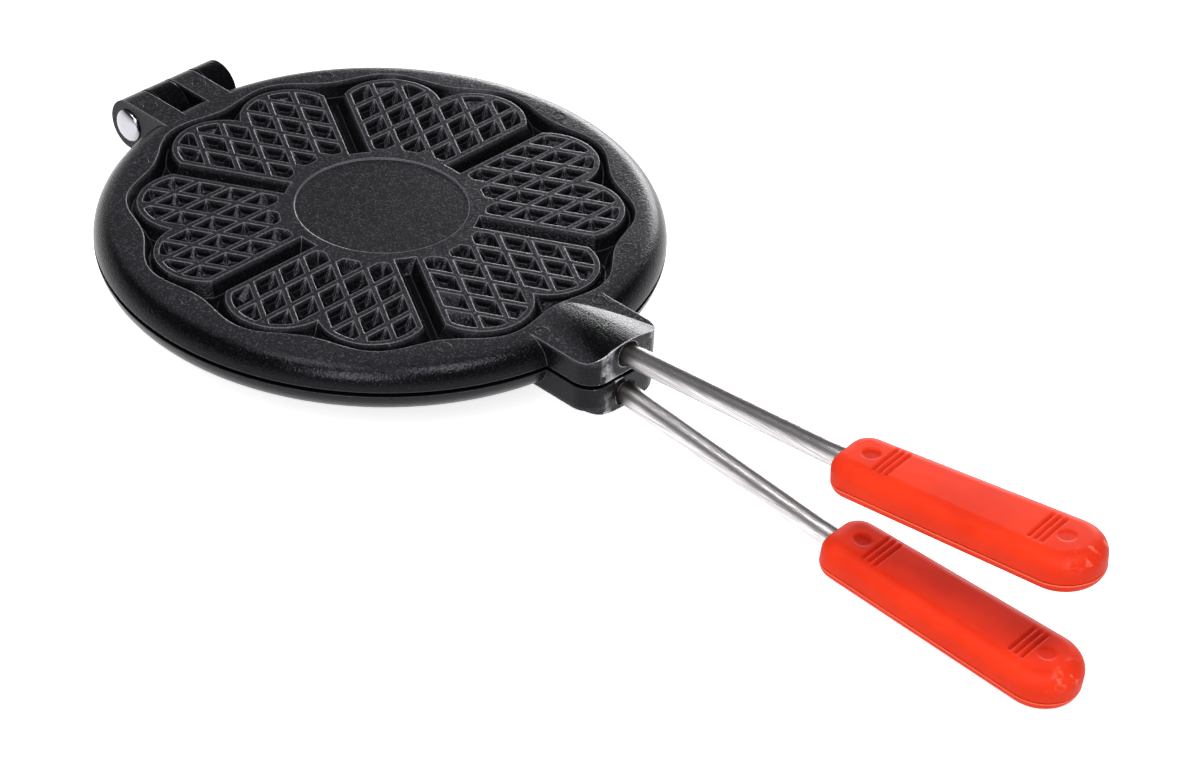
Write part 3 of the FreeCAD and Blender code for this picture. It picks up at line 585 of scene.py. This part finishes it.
def grip_mesh(name, corner, heading):
    """Grid of plan outline by profile. The profile runs from the middle of the top over the edge
    and the side to the middle of the underside; grooves and dimples press the top in."""
    plan, outward = grip_outline()
    spine = np.stack([np.clip(plan[:, 0], 14.0, GRIP_LENGTH - GRIP_END), 0 * plan[:, 0]], -1)
    quarter = np.linspace(0, np.pi / 2, 10)
    side = np.unique(np.concatenate([
        np.linspace(-GRIP_BOTTOM + ROUND_BOTTOM, GRIP_TOP - ROUND_TOP, 9),
        PARTING_LEVEL + 0.8 * np.linspace(-1, 1, 17)]))[::-1]
    flat = np.linspace(0, 1, 24)[:-1]
    inset = np.concatenate([
        ROUND_TOP + 0 * flat, ROUND_TOP * (1 - np.sin(quarter)), 0 * side[1:-1],
        ROUND_BOTTOM * (1 - np.sin(quarter[::-1])), ROUND_BOTTOM + 0 * flat])
    level = np.concatenate([
        GRIP_TOP + 0 * flat, GRIP_TOP - ROUND_TOP * (1 - np.cos(quarter)), side[1:-1],
        -GRIP_BOTTOM + ROUND_BOTTOM * (1 - np.cos(quarter[::-1])), -GRIP_BOTTOM + 0 * flat])
    reach = np.concatenate([flat, np.ones(2 * len(quarter) + len(side) - 2), flat[::-1]])
    inset = inset + PARTING_DEPTH * np.exp(-((level - PARTING_LEVEL) / 0.2) ** 2) * (reach > 0.99)
    edge = plan[None] - outward[None] * inset[:, None, None]
    flat_place = spine[None] + reach[:, None, None] * (edge - spine[None])
    x, y = flat_place[..., 0], flat_place[..., 1]
    z = np.repeat(level[:, None], len(plan), 1)
    upper = np.clip((z - (GRIP_TOP - TOP_BAND)) / TOP_BAND, 0, 1)
    z = z - upper * (CROWN * (y / GRIP_END) ** 2 + pressed_in(x, y))
    level_side = np.cross((0, 0, 1), heading)
    level_side /= np.linalg.norm(level_side)
    axes = np.stack([heading, level_side, np.cross(heading, level_side)])
    points = (corner + heading * GRIP_OFFSET + np.stack([x, y, z], -1) @ axes) * MM
    mesh = close_up(grid_mesh(name, points, closed_across=True))
    flat_points = np.zeros(3 * len(mesh.vertices))
    mesh.vertices.foreach_get("co", flat_points)
    x, y, z = ((flat_points.reshape(-1, 3) / MM - corner - heading * GRIP_OFFSET) @ axes.T).T
    # Paler scuffs with a painted glint on the top of the tip.
    tip = np.clip((x - 101) / 6, 0, 1) * np.clip((z - 1) / 4, 0, 1)
    parting = np.exp(-((z - PARTING_LEVEL) / 0.25) ** 2)
    # Painted shade: the grooves and dimples on the top and the parting line on the sides.
    sunk = np.where(z > 0, pressed_in(x, y) / GROOVE_DEPTH, parting)
    # Painted highlight on a band just below the parting line.
    lip_highlight = np.exp(-((z - PARTING_LEVEL + 0.45) / 0.3) ** 2)
    for title, values in (("recess_shade", sunk), ("tip", tip), ("lip_highlight", lip_highlight)):
        mesh.attributes.new(title, "FLOAT", "POINT").data.foreach_set("value", values)
    return mesh


material, tree, shader = new_material("grip_rubber")
skin = group_node(tree, grain, Scale=700.0)
rim = group_node(tree, edges, Radius=0.0005)
shader.inputs["Specular IOR Level"].default_value = 0.08
worn = calculate(tree, "MULTIPLY", rim.outputs["Edge"], 0.35)
recess_shade, tip, lip_highlight = [put(tree, "ShaderNodeAttribute", attribute_name=title).outputs["Fac"]
                    for title in ("recess_shade", "tip", "lip_highlight")]
smear = put(tree, "ShaderNodeTexNoise", [("Scale", 260.0), ("Detail", 4.0)],
            [("Vector", put(tree, "ShaderNodeTexCoord").outputs["Object"])])
# Scuffs at the tip, painted pale with a painted glint on its top.
scuff_and_glint = calculate(tree, "MULTIPLY", tip, ease(tree, smear.outputs["Fac"], 0.55, 0.68))
rubber = blend_colour(tree, skin.outputs["Blotch"], RUBBER_DEEP, RUBBER_LIGHT)
# Grooves, dimples and parting line painted darker as painted shade.
rubber = blend_colour(tree, calculate(tree, "MULTIPLY", recess_shade, 0.75), rubber, RUBBER_PAINTED_SHADE)
# Lighter rubber: a painted highlight below the parting line and rubbed edges.
rubbed = calculate(tree, "MULTIPLY_ADD", lip_highlight, 0.6, worn)
rubber = blend_colour(tree, rubbed, rubber, RUBBER_WEAR_AND_HIGHLIGHT)
rubber = blend_colour(tree, calculate(tree, "MULTIPLY", scuff_and_glint, 0.35), rubber, RUBBER_SCUFF_AND_GLINT)
tree.links.new(rubber, shader.inputs["Base Color"])
matt = calculate(tree, "MULTIPLY_ADD", skin.outputs["Blotch"], 0.10, 0.44)
tree.links.new(calculate(tree, "MULTIPLY_ADD", scuff_and_glint, -0.25, matt), shader.inputs["Roughness"])
bump = put(tree, "ShaderNodeBump", [("Strength", 0.05), ("Distance", 0.0002)],
           [("Height", skin.outputs["Height"])])
tree.links.new(bump.outputs["Normal"], shader.inputs["Normal"])
for body, side, bend in HANDLES:
    root, axes, reach, corner, heading = handle_frame(side, bend)
    add_piece(grip_mesh(body + "_handle_grip", corner, heading), body + "_handle_grip", body,
              material, "grip_rubber", body + "_grip")

# Stage: a white floor that runs up into a white backdrop, dark overhead but for the softboxes, and
# a long lens from the front right. Bright metal mirrors the floor and the backdrop.
FLOOR_HALF = 6.0
FLOOR_WHITE = (0.90, 0.90, 0.90, 1)
FLOOR_GLOW = 0.72
MIRRORED_GLOW = 0.75  # share of that glow that mirrors show


floor_level = cad_low.z - 0.0005
corners = np.array([(-1, -1), (1, -1), (1, 1), (-1, 1)]) * FLOOR_HALF
mesh = bpy.data.meshes.new("floor")
mesh.from_pydata(np.column_stack([corners, np.full(4, floor_level)]), [], [(0, 1, 2, 3)])
material, tree, shader = new_material("floor_white")
shader.inputs["Roughness"].default_value = 0.9
shader.inputs["Base Color"].default_value = FLOOR_WHITE
shader.inputs["Emission Color"].default_value = (1, 1, 1, 1)
seen = put(tree, "ShaderNodeLightPath").outputs
direct = calculate(tree, "MAXIMUM", seen["Is Camera Ray"], seen["Is Transmission Ray"])
mirrored = calculate(tree, "MULTIPLY", seen["Is Glossy Ray"], MIRRORED_GLOW)
shown = calculate(tree, "MAXIMUM", direct, mirrored)
tree.links.new(calculate(tree, "MULTIPLY", shown, FLOOR_GLOW), shader.inputs["Emission Strength"])
mesh.materials.append(material)
floor = bpy.data.objects.new("floor", mesh)
scene.collection.objects.link(floor)

AMBIENT = 0.38
OVERHEAD = 0.05
SWEEP_START, SWEEP_END = 0.10, 0.38  # upward part of a direction where the backdrop fades
world = bpy.data.worlds.new("studio")
scene.world = world
world.use_nodes = True
tree = world.node_tree
backdrop = tree.nodes["Background"]
backdrop.inputs["Color"].default_value = (1, 1, 1, 1)
seen = put(tree, "ShaderNodeLightPath").outputs
direct = calculate(tree, "MAXIMUM", seen["Is Camera Ray"], seen["Is Transmission Ray"])
height = put(tree, "ShaderNodeSeparateXYZ",
             links=[("Vector", put(tree, "ShaderNodeTexCoord").outputs["Generated"])]).outputs["Z"]
sweep = calculate(tree, "MAXIMUM", ease(tree, height, SWEEP_END, SWEEP_START), OVERHEAD)
beyond = calculate(tree, "SUBTRACT", sweep, AMBIENT)
mirrored = calculate(tree, "MULTIPLY", seen["Is Glossy Ray"], beyond)
tree.links.new(calculate(tree, "MAXIMUM", direct, calculate(tree, "ADD", mirrored, AMBIENT)),
               backdrop.inputs["Strength"])

AIM = np.array([0.06, -0.01, 0.01])
LAMPS = [  # name, place, width and height, watts
    ("key_softbox", (0.74, -0.10, 1.18), (0.30, 0.30), 8.0),
    ("front_softbox", (0.72, -1.02, 0.95), (0.42, 0.42), 10.0),
    ("low_strip", (-0.80, 1.70, 0.34), (1.20, 0.60), 21.0),
    ("top_softbox", (0.02, -0.50, 1.30), (0.55, 0.22), 5.5),
]
for name, place, extent, watts in LAMPS:
    lamp = bpy.data.lights.new(name, "AREA")
    lamp.shape = "RECTANGLE"
    lamp.size, lamp.size_y = extent
    lamp.energy = watts
    holder = bpy.data.objects.new(name, lamp)
    back = (np.array(place) - AIM) / np.linalg.norm(np.array(place) - AIM)
    right = np.cross((0, 0, 1), back)
    right /= np.linalg.norm(right)
    turn = np.stack([right, np.cross(back, right), back], 1)
    holder.matrix_world = Matrix.Translation(place) @ Matrix(turn.tolist()).to_4x4()
    scene.collection.objects.link(holder)

CAMERA_PLACE = (0.85221, -0.81661, 0.78649)
CAMERA_RIGHT = (0.72120, 0.69104, 0.04840)
CAMERA_UP = (-0.43301, 0.39516, 0.81016)
CAMERA_BACK = (0.54072, -0.60524, 0.58421)
lens = bpy.data.cameras.new("camera")
lens.lens = 105.0
lens.sensor_width = 36.0
camera = bpy.data.objects.new("camera", lens)
camera.matrix_world = (Matrix.Translation(CAMERA_PLACE)
                       @ Matrix((CAMERA_RIGHT, CAMERA_UP, CAMERA_BACK)).transposed().to_4x4())
scene.collection.objects.link(camera)
scene.camera = camera
scene.view_settings.view_transform = "Standard"
